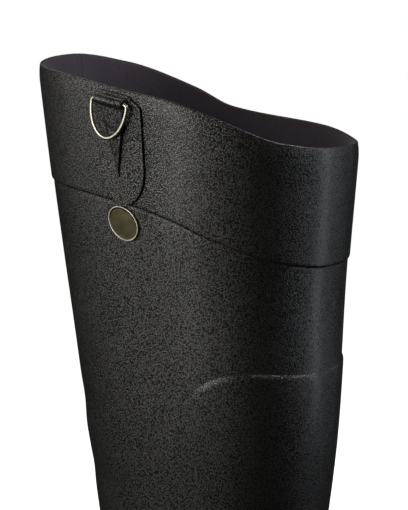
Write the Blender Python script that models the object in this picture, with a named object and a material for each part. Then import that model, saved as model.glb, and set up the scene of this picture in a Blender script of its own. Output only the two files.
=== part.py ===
"""A thigh-high rubber hip wader for the right foot, standing empty on its sole.

Metres, +Z up, +X towards the toe, -Y towards the outer side of the leg.
The origin is on the floor, under the middle of the heel.
"""

import math

import bmesh
import bpy
import numpy as np
from mathutils import Matrix, Vector

# Foot, measured over the outside of the upper
FOOT_LENGTH = 0.290
BALL_WIDTH = 0.101
HEEL_BACK = 0.040
TOE_SWING = 0.007
ANKLE_HEIGHT = 0.176
ANKLE_DEPTH = 0.119
ANKLE_WIDTH = 0.084

# Leg, measured over the outside of the shaft
SHIN_HEIGHT = 0.235
SHIN_DEPTH = 0.126
SHIN_WIDTH = 0.096
CALF_HEIGHT = 0.340
CALF_DEPTH = 0.146
CALF_WIDTH = 0.118
CALF_FORWARD = 0.026
KNEE_HEIGHT = 0.500
KNEE_DEPTH = 0.189
KNEE_WIDTH = 0.150
KNEE_FORWARD = 0.027
MID_THIGH_HEIGHT = 0.645
MID_THIGH_DEPTH = 0.217
MID_THIGH_WIDTH = 0.1745
MID_THIGH_FORWARD = 0.0174
THIGH_DEPTH = 0.245
THIGH_WIDTH = 0.199
THIGH_FORWARD = 0.011
THIGH_INWARD = 0.010
LEG_HEIGHT = 0.790
COLLAR_RISE = 0.059
SECTION_POWER = 2.3

# Wall of the upper and what is laid up on it
WALL = 0.0026
COLLAR_BAND_WIDTH = 0.0845
COLLAR_BAND_THICKNESS = 0.0013
COLLAR_BAND_STEP = 0.0006
KNEE_PATCH_TOP = 0.571
KNEE_PATCH_LENGTH = 0.170
KNEE_PATCH_HALF_WIDTH = 0.107
KNEE_PATCH_CORNER = 0.030
KNEE_PATCH_THICKNESS = 0.0014
KNEE_PATCH_SLOPE = 0.0025
KNEE_PATCH_BOW = 0.007

# Sole
HEEL_SEAT = 0.034
BALL_SEAT = 0.018
TOE_SPRING = 0.011
HEEL_BLOCK_LENGTH = 0.076
WAIST_LENGTH = 0.076
FLAT_LENGTH = 0.078
WAIST_THICKNESS = 0.011
LUG_DEPTH = 0.0045
GROOVE_WIDTH = 0.0045
HEEL_PITCH = 0.017
FOREPART_PITCH = 0.0165
CHEVRON_DEPTH = 0.0088
SIDE_TAPER = 0.0020
SIDE_GROOVE = 0.0010
FOXING_THICKNESS = 0.0022
FOXING_HEIGHT = 0.017
FOXING_TAPER_START = 0.80
FOXING_EDGE_SHARE = 0.55
TOE_GUARD_RISE = 0.018
TOE_GUARD_START = 0.45
TOE_GUARD_FULL = 0.97
INSOLE_THICKNESS = 0.0045

# Belt fastening on the outer side
TAB_ANGLE = math.radians(94.5)
TAB_WIDTH = 0.043
TAB_THICKNESS = 0.0020
TAB_TOP = 0.0030
TAB_SHOULDER = 0.0110
TAB_ROUND_START = 0.0530
TAB_BOTTOM = 0.0830
ROLL_DROP = 0.0085
ROLL_LENGTH = 0.0242
ROLL_WALL = 0.0020
TONGUE_WIDTH = 0.0234
TONGUE_END = 0.063
TONGUE_ROOT_THICKNESS = 0.0028
TONGUE_TIP_THICKNESS = 0.0010
RING_WIRE = 0.0026
RING_SIDE_PLAY = 0.0018
RING_DEPTH = 0.0290
RING_CORNER = 0.0026
BORE_CLEARANCE = 0.0003

# Badge
BADGE_WIDTH = 0.027
BADGE_HEIGHT = 0.0245
BADGE_THICKNESS = 0.0014
BADGE_RIM_WIDTH = 0.0011
BADGE_RIM_RISE = 0.0005
BADGE_ANGLE = math.radians(95.0)

# Fits
GAP = 0.0003
FOXING_GAP = 0.0007
INSOLE_CLEARANCE = 0.0004

# Mesh resolution
FRONT_PARTS = 7
BACK_PARTS = 12
FOXING_ROWS = 9

# Rows run up the foot from its lower edge to the ankle. The columns are:
# rise at the back, as a share of the height from heel seat to ankle,
# heel standing behind the ankle, as a share of the foot's length,
# reach in front, as a share of the length from ankle to toe,
# rise in front, as a share of the height from toe seat to ankle,
# how much of half the ball width and of half the ankle width the side has,
# rounding of the toe and of the heel, as shares of the row's own length.
FOOT_ROWS = (
    # rise, heel, reach, front rise, ball, ankle, toe round, heel round
    (0.000, 0.017, 1.000, 0.000, 0.98, 0.00, 0.22, 0.120),
    (0.070, 0.024, 1.018, 0.080, 1.01, 0.00, 0.22, 0.120),
    (0.155, 0.029, 0.985, 0.187, 1.01, 0.00, 0.25, 0.125),
    (0.239, 0.029, 0.885, 0.280, 0.99, 0.00, 0.33, 0.135),
    (0.324, 0.028, 0.720, 0.342, 0.95, 0.04, 0.43, 0.150),
    (0.408, 0.024, 0.533, 0.407, 0.90, 0.11, 0.49, 0.180),
    (0.507, 0.017, 0.352, 0.500, 0.70, 0.32, 0.52, 0.230),
    (0.634, 0.010, 0.190, 0.633, 0.42, 0.60, 0.52, 0.310),
    (0.789, 0.003, 0.062, 0.800, 0.18, 0.82, 0.51, 0.410),
    (1.000, 0.000, 0.000, 1.000, 0.00, 1.00, 0.50, 0.500),
)

# Plan of the foot: place along its length, outer side and inner side as shares of half the ball width.
PLAN_ROWS = (
    (0.00, 0.68, 0.66),
    (0.15, 0.69, 0.67),
    (0.35, 0.75, 0.64),
    (0.55, 0.91, 0.85),
    (0.70, 1.00, 0.99),
    (0.85, 0.97, 0.99),
    (1.00, 0.90, 0.94),
)

# Collar round the leg: degrees from the front through the outer side, how high its edge and then
# the lower edge of its band stand, as shares of the collar's rise.
COLLAR_ROWS = (
    (0, 0.04, 0.02),
    (30, 0.155, 0.15),
    (60, 0.50, 0.45),
    (75, 0.66, 0.65),
    (90, 0.75, 0.785),
    (120, 0.905, 0.915),
    (150, 0.955, 0.955),
    (180, 0.995, 0.99),
    (210, 0.845, 0.845),
    (240, 0.50, 0.51),
    (255, 0.27, 0.32),
    (270, 0.19, 0.20),
    (300, 0.11, 0.08),
    (330, 0.02, 0.01),
)


# Curves through tables

def end_slope(steps, rates):
    """Slope at a curve's end, from its two nearest steps and their rates."""
    slope = ((2 * steps[0] + steps[1]) * rates[0] - steps[0] * rates[1]) / (steps[0] + steps[1])
    if slope * rates[0] <= 0:
        return 0.0
    return math.copysign(min(abs(slope), 3 * abs(rates[0])), slope)


def slopes_through(places, values):
    """Slopes of a smooth curve through the points that never overshoots them."""
    steps = np.diff(places)
    rates = np.diff(values) / steps
    slopes = np.zeros_like(values)
    slopes[0] = end_slope(steps[:2], rates[:2])
    slopes[-1] = end_slope(steps[:-3:-1], rates[:-3:-1])
    for i in range(1, len(values) - 1):
        if rates[i - 1] * rates[i] > 0:
            near, far = 2 * steps[i] + steps[i - 1], steps[i] + 2 * steps[i - 1]
            slopes[i] = (near + far) / (near / rates[i - 1] + far / rates[i])
    return slopes


def curve(rows, column, at):
    """A column of a table, read smoothly at any place of its first column."""
    places = np.array([row[0] for row in rows], float)
    values = np.array([row[column] for row in rows], float)
    slopes = slopes_through(places, values)
    at = np.clip(at, places[0], places[-1])
    i = np.clip(np.searchsorted(places, at, side="right") - 1, 0, len(places) - 2)
    step = places[i + 1] - places[i]
    t = (at - places[i]) / step
    return (
        values[i] * (1 + 2 * t) * (1 - t) ** 2
        + values[i + 1] * t * t * (3 - 2 * t)
        + slopes[i] * step * t * (1 - t) ** 2
        - slopes[i + 1] * step * t * t * (1 - t)
    )


def ease(start, end, at):
    """0 before start, 1 after end and a smooth rise between them."""
    t = np.clip((at - start) / (end - start), 0, 1)
    return t * t * (3 - 2 * t)


def rounded_end(share):
    """Half width left at a share of the way into a rounded end."""
    inside = 1 - np.clip(share, 0, 1)
    return (1 - inside**SECTION_POWER) ** (1 / SECTION_POWER)


# The outer skin of the upper

ANKLE_BACK = -HEEL_BACK + FOOT_ROWS[0][1] * FOOT_LENGTH
ANKLE_FRONT = ANKLE_BACK + ANKLE_DEPTH
TOE_TIP = FOOT_LENGTH - HEEL_BACK
HEEL_BREAST = HEEL_BLOCK_LENGTH - HEEL_BACK
FOREPART_START = HEEL_BREAST + WAIST_LENGTH
FLAT_END = FOREPART_START + FLAT_LENGTH
LEG_ROWS = (
    # height, centre forward, half depth, half width, inward
    (ANKLE_HEIGHT, ANKLE_BACK + ANKLE_DEPTH / 2, ANKLE_DEPTH / 2, ANKLE_WIDTH / 2, 0.0),
    (SHIN_HEIGHT, ANKLE_BACK + ANKLE_DEPTH / 2, SHIN_DEPTH / 2, SHIN_WIDTH / 2, 0.0),
    (CALF_HEIGHT, CALF_FORWARD, CALF_DEPTH / 2, CALF_WIDTH / 2, 0.0),
    (KNEE_HEIGHT, KNEE_FORWARD, KNEE_DEPTH / 2, KNEE_WIDTH / 2, 0.0),
    (MID_THIGH_HEIGHT, MID_THIGH_FORWARD, MID_THIGH_DEPTH / 2, MID_THIGH_WIDTH / 2, THIGH_INWARD / 2),
    (LEG_HEIGHT, THIGH_FORWARD, THIGH_DEPTH / 2, THIGH_WIDTH / 2, THIGH_INWARD),
)


def tread_height(x):
    """Height of the lugs' faces: on the floor, and rising at the toe."""
    return TOE_SPRING * np.clip((x - FLAT_END) / (TOE_TIP - FLAT_END), 0, 1.1) ** 1.6


def seat_height(x):
    """Height of the upper's lower edge, which is also the top of the sole."""
    margin = 0.2 * WAIST_LENGTH
    fall = (HEEL_SEAT - BALL_SEAT) * ease(HEEL_BREAST - margin, FOREPART_START + margin, x)
    return HEEL_SEAT - fall + tread_height(x)


def collar_rise(angle, column):
    """Height of a line round the collar, by its column of the collar's table."""
    before = [(row[0] - 360, *row[1:]) for row in COLLAR_ROWS[-2:]]
    after = [(row[0] + 360, *row[1:]) for row in COLLAR_ROWS[:3]]
    share = curve((*before, *COLLAR_ROWS, *after), column, np.degrees(angle) % 360)
    return LEG_HEIGHT - COLLAR_RISE * (1 - share)


def collar_height(angle):
    """Height of the collar's edge round the leg."""
    return collar_rise(angle, 1)


def band_edge_height(angle):
    """Height of the lower edge of the collar's band round the leg."""
    return collar_rise(angle, 2) - COLLAR_BAND_WIDTH


def leg_skin(angle, height):
    """Points of the leg: ovals that change with height."""
    centre, depth, width, inward = (curve(LEG_ROWS, c, height) for c in (1, 2, 3, 4))
    x = centre + depth * np.cos(angle)
    side = width * rounded_end(1 - np.abs(np.cos(angle)))
    return np.stack([x, inward - np.sign(np.sin(angle)) * side, height + 0 * x], -1)


def foot_skin(angle, height):
    """Points of the foot: rows that run from the heel round the toe and shorten towards the ankle."""
    rise = (height - HEEL_SEAT) / (ANKLE_HEIGHT - HEEL_SEAT)
    heel, reach, lift, ball, ankle, toe_round, heel_round = (curve(FOOT_ROWS, c, rise) for c in range(1, 8))
    back = ANKLE_BACK - heel * FOOT_LENGTH
    front = ANKLE_FRONT + reach * (TOE_TIP - ANKLE_FRONT)
    along = (1 + np.cos(angle)) / 2
    x = back + along * (front - back)
    place = (x + HEEL_BACK) / FOOT_LENGTH
    outer = np.sin(angle) >= 0
    plan = np.where(outer, curve(PLAN_ROWS, 1, place), curve(PLAN_ROWS, 2, place))
    side = ball * plan * BALL_WIDTH / 2 + ankle * ANKLE_WIDTH / 2
    side = side * rounded_end((1 - along) / toe_round) * rounded_end(along / heel_round)
    swing = TOE_SWING * ease(0.5, 1.0, place) * ball
    toe_seat = seat_height(np.array(TOE_TIP))
    front_height = toe_seat + lift * (ANKLE_HEIGHT - toe_seat)
    level = height + along * (front_height - height)
    seat_bend = seat_height(x) - (HEEL_SEAT + along * (toe_seat - HEEL_SEAT))
    level = level + seat_bend * (1 - ease(0.0, 0.32, rise))
    return np.stack([x, swing - np.where(outer, 1, -1) * side, level], -1)


def skin(angle, height):
    """The outer skin at an angle from the front and a height measured up the back."""
    angle, height = np.broadcast_arrays(np.asarray(angle, float), np.asarray(height, float))
    on_leg = (height >= ANKLE_HEIGHT)[..., None]
    return np.where(on_leg, leg_skin(angle, height), foot_skin(angle, height))


def outward(angle, height):
    """Unit normals of the skin."""
    step_a, step_h = 1e-3, 5e-4
    low = np.maximum(np.asarray(height, float) - step_h, HEEL_SEAT)
    round_it = skin(angle + step_a, height) - skin(angle - step_a, height)
    up_it = skin(angle, low + 2 * step_h) - skin(angle, low)
    normal = np.cross(up_it, round_it)
    return normal / np.linalg.norm(normal, axis=-1, keepdims=True)


def raised(angle, height, out):
    """The skin moved out by a distance, or in by a negative one."""
    return skin(angle, height) + outward(angle, height) * np.asarray(out, float)[..., None]


def angle_towards_front(start, distance, height):
    """The angle reached by going a distance along the skin from a start angle towards the front."""
    angles = np.linspace(-0.8 * math.pi, 1.2 * math.pi, 1501)
    ring = leg_skin(angles, np.full_like(angles, height))
    run = np.concatenate([[0], np.cumsum(np.linalg.norm(np.diff(ring, axis=0), axis=1))])
    return np.interp(np.interp(start, angles, run) - distance, run, angles)


# Meshes and objects

def clear_scene():
    for item in list(bpy.data.objects):
        bpy.data.objects.remove(item)


def material(name, colour, roughness, metallic=0.0):
    made = bpy.data.materials.new(name)
    made.use_nodes = True
    shader = made.node_tree.nodes["Principled BSDF"]
    shader.inputs["Base Color"].default_value = (*colour, 1)
    shader.inputs["Roughness"].default_value = roughness
    shader.inputs["Metallic"].default_value = metallic
    return made


def solid(name, points, faces, finish, helper=False, smooth_below=math.radians(40)):
    mesh = bpy.data.meshes.new(name)
    mesh.from_pydata([tuple(p) for p in points], [], faces)
    work = bmesh.new()
    work.from_mesh(mesh)
    bmesh.ops.recalc_face_normals(work, faces=work.faces)
    work.to_mesh(mesh)
    work.free()
    mesh.shade_smooth()
    mesh.set_sharp_from_angle(angle=smooth_below)
    item = bpy.data.objects.new(name, mesh)
    bpy.context.scene.collection.objects.link(item)
    if finish:
        mesh.materials.append(finish)
    if helper:
        item.hide_render = True
        item.display_type = "WIRE"
    return item


def boolean(item, operation, other):
    modifier = item.modifiers.new(f"{operation.lower()} {other.name}", "BOOLEAN")
    modifier.operation = operation
    modifier.solver = "EXACT"
    modifier.object = other


def wall_between(outer, inner, closes_round):
    """Points and faces of the closed wall between two grids of the same size."""
    rows, columns = outer.shape[:2]
    points = np.concatenate([outer.reshape(-1, 3), inner.reshape(-1, 3)])
    skip = rows * columns
    across = columns if closes_round else columns - 1
    faces = []
    for i in range(rows - 1):
        for j in range(across):
            a, b = i * columns + j, i * columns + (j + 1) % columns
            c, d = b + columns, a + columns
            faces.append((a, b, c, d))
            faces.append((d + skip, c + skip, b + skip, a + skip))
    for i in (0, rows - 1):
        for j in range(across):
            a, b = i * columns + j, i * columns + (j + 1) % columns
            faces.append((a, a + skip, b + skip, b))
    if not closes_round:
        for i in range(rows - 1):
            for j in (0, columns - 1):
                a, d = i * columns + j, (i + 1) * columns + j
                faces.append((a, d, d + skip, a + skip))
    return points, faces


def capped_rings(rings):
    """Points and faces of a stack of rings, with rungs across its two ends."""
    levels, columns = rings.shape[:2]
    faces = []
    for i in range(levels - 1):
        for j in range(columns):
            a, b = i * columns + j, i * columns + (j + 1) % columns
            faces.append((a, b, b + columns, a + columns))
    for level in (0, levels - 1):
        first = level * columns
        for j in range(columns // 2):
            rung = (j, j + 1, columns - j - 1, (columns - j) % columns)
            faces.append(tuple(dict.fromkeys(first + k for k in rung)))
    return rings.reshape(-1, 3), faces


# The upper

def row_angles(half_width):
    """Angles of a row's points, with a pair either side where a knee patch of a half width would end."""
    crest, foot = (
        angle_towards_front(0.0, -distance, KNEE_HEIGHT)
        for distance in (half_width - KNEE_PATCH_SLOPE, half_width)
    )
    front = np.linspace(0, crest, FRONT_PARTS + 1)
    back = np.linspace(foot, math.pi, BACK_PARTS + 1)
    half = np.concatenate([front, back])
    return np.concatenate([half, 2 * math.pi - half[-2:0:-1]])


ANGLES = row_angles(KNEE_PATCH_HALF_WIDTH)
COLUMNS = len(ANGLES)
ON_PATCH = np.minimum(np.arange(COLUMNS), COLUMNS - np.arange(COLUMNS)) <= FRONT_PARTS


def knee_patch_row(drop):
    """Angles, heights and thickness of a row at a drop below the knee patch's upper edge."""
    to_end = min(drop, KNEE_PATCH_LENGTH - drop)
    into = max(KNEE_PATCH_CORNER - to_end, 0)
    half = KNEE_PATCH_HALF_WIDTH - KNEE_PATCH_CORNER + math.sqrt(KNEE_PATCH_CORNER**2 - into**2)
    angles = row_angles(half)
    across = np.minimum(1 - np.abs(1 - angles / math.pi), 0.5) * 2
    heights = KNEE_PATCH_TOP - drop + KNEE_PATCH_BOW * across**2
    return angles, heights, np.where(ON_PATCH & (to_end > 0), KNEE_PATCH_THICKNESS, 0.0)


def upper_rows():
    """Angles, heights and thickness laid on the skin, for each row of the upper's mesh."""
    plain = np.zeros(COLUMNS)
    shares = (0.0, 0.04, 0.08, 0.12, 0.16, 0.20, 0.24, 0.28, 0.33, 0.40, 0.48, 0.57, 0.67, 0.78, 0.89)
    levels = [HEEL_SEAT + share * (ANKLE_HEIGHT - HEEL_SEAT) for share in shares]
    levels += [ANKLE_HEIGHT, (ANKLE_HEIGHT + SHIN_HEIGHT) / 2, SHIN_HEIGHT]
    rows = [(ANGLES, np.full(COLUMNS, level), plain) for level in levels]
    for level, share in (((SHIN_HEIGHT + CALF_HEIGHT) / 2, 1 / 3), (CALF_HEIGHT, 2 / 3)):
        angles = row_angles(KNEE_PATCH_HALF_WIDTH - share * KNEE_PATCH_CORNER)
        rows.append((angles, np.full(COLUMNS, level), plain))
    ends = [0.0, KNEE_PATCH_SLOPE]
    ends += [KNEE_PATCH_CORNER * (1 - math.cos(math.radians(a))) for a in (45, 70, 90)]
    drops = ends + [KNEE_PATCH_LENGTH / 2] + [KNEE_PATCH_LENGTH - d for d in reversed(ends)]
    rows += [knee_patch_row(drop) for drop in reversed(drops)]
    top = rows[-1][1]
    for share in (1 / 3, 2 / 3):
        angles = row_angles(KNEE_PATCH_HALF_WIDTH - (1 - share) * KNEE_PATCH_CORNER)
        rows.append((angles, top + share * (band_edge_height(angles) - top), plain))
    rim, edge = collar_height(ANGLES), band_edge_height(ANGLES)
    step = COLLAR_BAND_THICKNESS
    rows += [
        (ANGLES, edge, plain),
        (ANGLES, edge + COLLAR_BAND_STEP, plain + step),
        (ANGLES, (edge + rim) / 2, plain + step),
        (ANGLES, rim - 0.5 * WALL, plain + step),
        (ANGLES, rim, plain + 0.5 * step),
    ]
    return rows


def upper(finish):
    rows = upper_rows()
    outer = np.array([raised(angles, heights, out) for angles, heights, out in rows])
    inner = np.array([raised(angles, heights, np.full(COLUMNS, -WALL)) for angles, heights, _ in rows])
    inner[0, :, 2] = outer[0, :, 2]
    points, faces = wall_between(outer, inner, closes_round=True)
    return solid("upper", points, faces, finish)


# The sole

def foot_edge(out):
    """The upper's lower edge in plan, moved out sideways by a distance."""
    edge = skin(ANGLES, HEEL_SEAT)[:, :2]
    along = skin(ANGLES + 1e-3, HEEL_SEAT)[:, :2] - skin(ANGLES - 1e-3, HEEL_SEAT)[:, :2]
    sideways = np.stack([-along[:, 1], along[:, 0]], -1)
    sideways /= np.linalg.norm(sideways, axis=1, keepdims=True)
    return edge + sideways * out


BELOW_FLOOR = -0.01
REACH = BALL_WIDTH


def groove(x, high, chevron_depth=0.0):
    """A cutter: a strip across the sole, as a chevron that is this deep at the sole's edges."""
    back, front = x - GROOVE_WIDTH / 2, x + GROOVE_WIDTH / 2
    middle_shift = chevron_depth * 2 * REACH / BALL_WIDTH
    plan = [(back, -REACH), (front, -REACH), (front + middle_shift, 0)]
    plan += [(front, REACH), (back, REACH), (back + middle_shift, 0)]
    count = len(plan)
    points = [(x, y, z) for z in (BELOW_FLOOR, high) for x, y in plan]
    faces = [(0, 1, 2, 5), (2, 3, 4, 5), (6, 7, 8, 11), (8, 9, 10, 11)]
    faces += [(i, (i + 1) % count, count + (i + 1) % count, count + i) for i in range(count)]
    return points, faces


def arch_cutter():
    """What is cut from under the waist, between the heel's breast and the forepart."""
    profile = [(HEEL_BREAST, BELOW_FLOOR)]
    for share, thickness in ((0.0, 1.0), (0.2, 0.9), (0.4, 0.8), (0.6, 0.7), (0.8, 0.6), (0.95, 0.5)):
        x = HEEL_BREAST + share * WAIST_LENGTH
        profile.append((x, float(seat_height(x)) - thickness * WAIST_THICKNESS))
    profile.append((FOREPART_START, BELOW_FLOOR))
    count = len(profile)
    points = [(x, y, z) for y in (-REACH, REACH) for x, z in profile]
    faces = [tuple(range(count)), tuple(range(count, 2 * count))]
    faces += [(i, (i + 1) % count, count + (i + 1) % count, count + i) for i in range(count)]
    return points, faces


def tread_cutters():
    """The arch, the straight grooves of the heel and the chevron grooves of the forepart, as one helper."""
    parts = [arch_cutter()]
    x = 0.5 * HEEL_PITCH
    while x + HEEL_PITCH / 2 < HEEL_BREAST:
        parts += [groove(-x, LUG_DEPTH), groove(x, LUG_DEPTH)]
        x += HEEL_PITCH
    x = FOREPART_START + 0.6 * FOREPART_PITCH
    while x + 2 * CHEVRON_DEPTH < TOE_TIP - FOREPART_PITCH / 2:
        high = float(tread_height(x + CHEVRON_DEPTH)) + LUG_DEPTH
        parts.append(groove(x, high, CHEVRON_DEPTH))
        x += FOREPART_PITCH
    points, faces = [], []
    for some, those in parts:
        faces += [tuple(len(points) + i for i in face) for face in those]
        points += some
    return solid("tread_cutters", points, faces, None, helper=True)


def outsole(finish):
    flange = FOXING_GAP + FOXING_THICKNESS
    side = (
        # share of the way down, outward
        (0.00, flange),
        (0.30, flange),
        (0.36, flange - SIDE_GROOVE),
        (0.42, flange),
        (0.55, flange),
        (1.00, flange - SIDE_TAPER),
    )
    rings = []
    for share, out in side:
        edge = foot_edge(out)
        top, tread = seat_height(edge[:, 0]) - GAP, tread_height(edge[:, 0])
        rings.append(np.column_stack([edge, top + share * (tread - top)]))
    points, faces = capped_rings(np.array(rings))
    item = solid("outsole", points, faces, finish, smooth_below=math.radians(30))
    boolean(item, "DIFFERENCE", tread_cutters())
    return item


def foxing(finish):
    """The band round the foot above the sole, taller at the toe."""
    guard = FOXING_HEIGHT + TOE_GUARD_RISE * ease(TOE_GUARD_START, TOE_GUARD_FULL, np.cos(ANGLES))
    outer, inner = [], []
    for step in range(FOXING_ROWS + 1):
        share = step / FOXING_ROWS
        taper = 1 - (1 - FOXING_EDGE_SHARE) * ease(FOXING_TAPER_START, 1.0, share)
        heights = HEEL_SEAT + GAP + share * guard
        outer.append(raised(ANGLES, heights, np.full(COLUMNS, FOXING_GAP + taper * FOXING_THICKNESS)))
        inner.append(raised(ANGLES, heights, np.full(COLUMNS, FOXING_GAP)))
    outer, inner = np.array(outer), np.array(inner)
    for grid in (outer, inner):
        grid[0, :, 2] = seat_height(grid[0, :, 0]) + GAP / 2
    points, faces = wall_between(outer, inner, closes_round=True)
    return solid("foxing", points, faces, finish)


def insole(finish):
    edge = foot_edge(-(WALL + INSOLE_CLEARANCE))
    seat = seat_height(edge[:, 0])
    rings = [np.column_stack([edge, seat + lift]) for lift in (GAP, GAP + INSOLE_THICKNESS)]
    points, faces = capped_rings(np.array(rings))
    return solid("insole", points, faces, finish)


# The belt fastening

def on_collar(toward_front, drop, out, start=TAB_ANGLE):
    """A point by its way towards the front, drop below the collar's edge and height over the skin."""
    angle = angle_towards_front(start, toward_front, LEG_HEIGHT - COLLAR_RISE)
    return raised(angle, collar_height(angle) - drop, np.full_like(np.asarray(angle, float), out))


def strip(name, finish, drops, half_widths, lows, highs, columns):
    """A solid lying on the collar: one row of points for each drop, as wide as its half width."""
    outer, inner = [], []
    for drop, half, low, high in zip(drops, half_widths, lows, highs):
        across = np.linspace(-half, half, columns)
        outer.append(on_collar(across, drop, high))
        inner.append(on_collar(across, drop, low))
    points, faces = wall_between(np.array(outer), np.array(inner), closes_round=False)
    return solid(name, points, faces, finish)


PATCH_LOW = COLLAR_BAND_THICKNESS + GAP
PATCH_HIGH = PATCH_LOW + TAB_THICKNESS
LOOP_LOW = PATCH_HIGH + GAP
BORE_RADIUS = RING_WIRE / 2 + BORE_CLEARANCE
ROLL_RADIUS = BORE_RADIUS + ROLL_WALL


def tab_patch(finish):
    """A bottle-shaped sheet: a neck under the roll, shoulders, straight sides and a rounded end."""
    drops = [TAB_TOP, TAB_SHOULDER, (TAB_SHOULDER + TAB_ROUND_START) / 2, TAB_ROUND_START]
    halves = [ROLL_LENGTH / 2, TAB_WIDTH / 2, TAB_WIDTH / 2, TAB_WIDTH / 2]
    for degrees in (20, 38, 54, 68, 79, 87):
        turn = math.radians(degrees)
        drops.append(TAB_ROUND_START + (TAB_BOTTOM - TAB_ROUND_START) * math.sin(turn))
        halves.append(TAB_WIDTH / 2 * math.cos(turn))
    count = len(drops)
    return strip("tab_patch", finish, drops, halves, [PATCH_LOW] * count, [PATCH_HIGH] * count, 7)


def ring_frame():
    """Middle of the ring's bar, its direction towards the front, and the way the ring hangs from it."""
    step = 0.001
    level = LOOP_LOW + ROLL_RADIUS
    middle = on_collar(0.0, ROLL_DROP, level)
    along = on_collar(step, ROLL_DROP, level) - on_collar(-step, ROLL_DROP, level)
    along /= np.linalg.norm(along)
    plumb = np.array((0.0, 0.0, -1.0))
    hang = plumb - plumb.dot(along) * along
    return middle, along, hang / np.linalg.norm(hang)


def rod(name, middle, along, radius, length, sides=20):
    """A helper: a straight round rod about an axis."""
    across = np.cross(along, (0, 0, 1))
    across /= np.linalg.norm(across)
    other = np.cross(along, across)
    turns = np.linspace(0, 2 * math.pi, sides, endpoint=False)
    circle = radius * (np.outer(np.cos(turns), across) + np.outer(np.sin(turns), other))
    rings = np.array([middle + circle - along * length / 2, middle + circle + along * length / 2])
    points = rings.reshape(-1, 3)
    faces = [(i, (i + 1) % sides, sides + (i + 1) % sides, sides + i) for i in range(sides)]
    faces += [tuple(range(sides)), tuple(range(sides, 2 * sides))]
    return solid(name, points, faces, None, helper=True)


def tab_loop(finish):
    """The strip folded round the ring's bar, its front end running down to a point."""
    middle, along, _ = ring_frame()
    start = ROLL_DROP + ROLL_RADIUS
    thinning = TONGUE_ROOT_THICKNESS - TONGUE_TIP_THICKNESS
    drops = [ROLL_DROP - 0.5 * ROLL_RADIUS]
    halves = [TONGUE_WIDTH / 2]
    highs = [LOOP_LOW + TONGUE_ROOT_THICKNESS]
    for share in (0.0, 0.2, 0.4, 0.6, 0.8, 0.97):
        drops.append(start + share * (TONGUE_END - start))
        halves.append(TONGUE_WIDTH / 2 * (1 - share))
        highs.append(LOOP_LOW + TONGUE_ROOT_THICKNESS - share * thinning)
    item = strip("tab_loop", finish, drops, halves, [LOOP_LOW] * len(drops), highs, 5)
    boolean(item, "UNION", rod("roll_form", middle, along, ROLL_RADIUS, ROLL_LENGTH))
    boolean(item, "DIFFERENCE", rod("bar_hole", middle, along, BORE_RADIUS, 2 * ROLL_LENGTH))
    return item


def ring_path():
    """The ring's centre line in its own plane: along the bar, away from the bar."""
    half = ROLL_LENGTH / 2 + RING_SIDE_PLAY + RING_WIRE / 2
    points = [(-half + RING_CORNER, 0.0), (0.0, 0.0), (half - RING_CORNER, 0.0)]
    for degrees in (30, 60):
        turn = math.radians(degrees)
        points.append((half - RING_CORNER * (1 - math.sin(turn)), RING_CORNER * (1 - math.cos(turn))))
    bow = RING_DEPTH - RING_WIRE - RING_CORNER
    for degrees in range(0, 181, 10):
        turn = math.radians(degrees)
        points.append((half * math.cos(turn), RING_CORNER + bow * math.sin(turn)))
    for degrees in (60, 30):
        turn = math.radians(degrees)
        points.append((-half + RING_CORNER * (1 - math.sin(turn)), RING_CORNER * (1 - math.cos(turn))))
    return np.array(points)


def d_ring(finish):
    middle, along, hang = ring_frame()
    face = np.cross(along, hang)
    path = ring_path()
    count, sides = len(path), 8
    centre = middle + np.outer(path[:, 0], along) + np.outer(path[:, 1], hang)
    ahead = np.roll(centre, -1, axis=0) - centre
    ahead /= np.linalg.norm(ahead, axis=1, keepdims=True)
    behind = np.roll(ahead, 1, axis=0)
    tangent = ahead + behind
    tangent /= np.linalg.norm(tangent, axis=1, keepdims=True)
    inward = np.cross(tangent, face)
    turns = np.linspace(0, 2 * math.pi, sides, endpoint=False) + math.pi / sides
    points = [
        centre[i] + RING_WIRE / 2 * (math.cos(t) * inward[i] + math.sin(t) * face)
        for i in range(count)
        for t in turns
    ]
    faces = []
    for i in range(count):
        for j in range(sides):
            a, b = i * sides + j, i * sides + (j + 1) % sides
            c, d = ((i + 1) % count) * sides + (j + 1) % sides, ((i + 1) % count) * sides + j
            faces.append((a, b, c, d))
    item = solid("d_ring", points, faces, finish)
    place_origin(item, middle)
    return item


def place_origin(item, point):
    """Moves an object's own origin to a point and leaves its shape where it is."""
    item.data.transform(Matrix.Translation(-Vector(point)))
    item.location = point


# The badge

def badge(finish):
    """An oval plate with a raised rim, following the shaft just under the collar band."""
    turns = np.linspace(0, 2 * math.pi, 32, endpoint=False)
    centre_drop = COLLAR_BAND_WIDTH + GAP + BADGE_HEIGHT / 2
    low, face_level = GAP, GAP + BADGE_THICKNESS
    rim_level = face_level + BADGE_RIM_RISE
    inset = BADGE_RIM_WIDTH
    rings = (
        # inset from the edge, level
        (inset, low),
        (0.0, low + 0.3 * BADGE_THICKNESS),
        (0.0, face_level),
        (0.3 * inset, rim_level),
        (0.7 * inset, rim_level),
        (inset, face_level),
    )
    points = []
    for cut, level in rings:
        across = (BADGE_WIDTH / 2 - cut) * np.cos(turns)
        drop = centre_drop - (BADGE_HEIGHT / 2 - cut) * np.sin(turns)
        points.append(np.array([on_collar(a, d, level, BADGE_ANGLE) for a, d in zip(across, drop)]))
    points, faces = capped_rings(np.array(points))
    return solid("badge", points, faces, finish)


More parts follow.
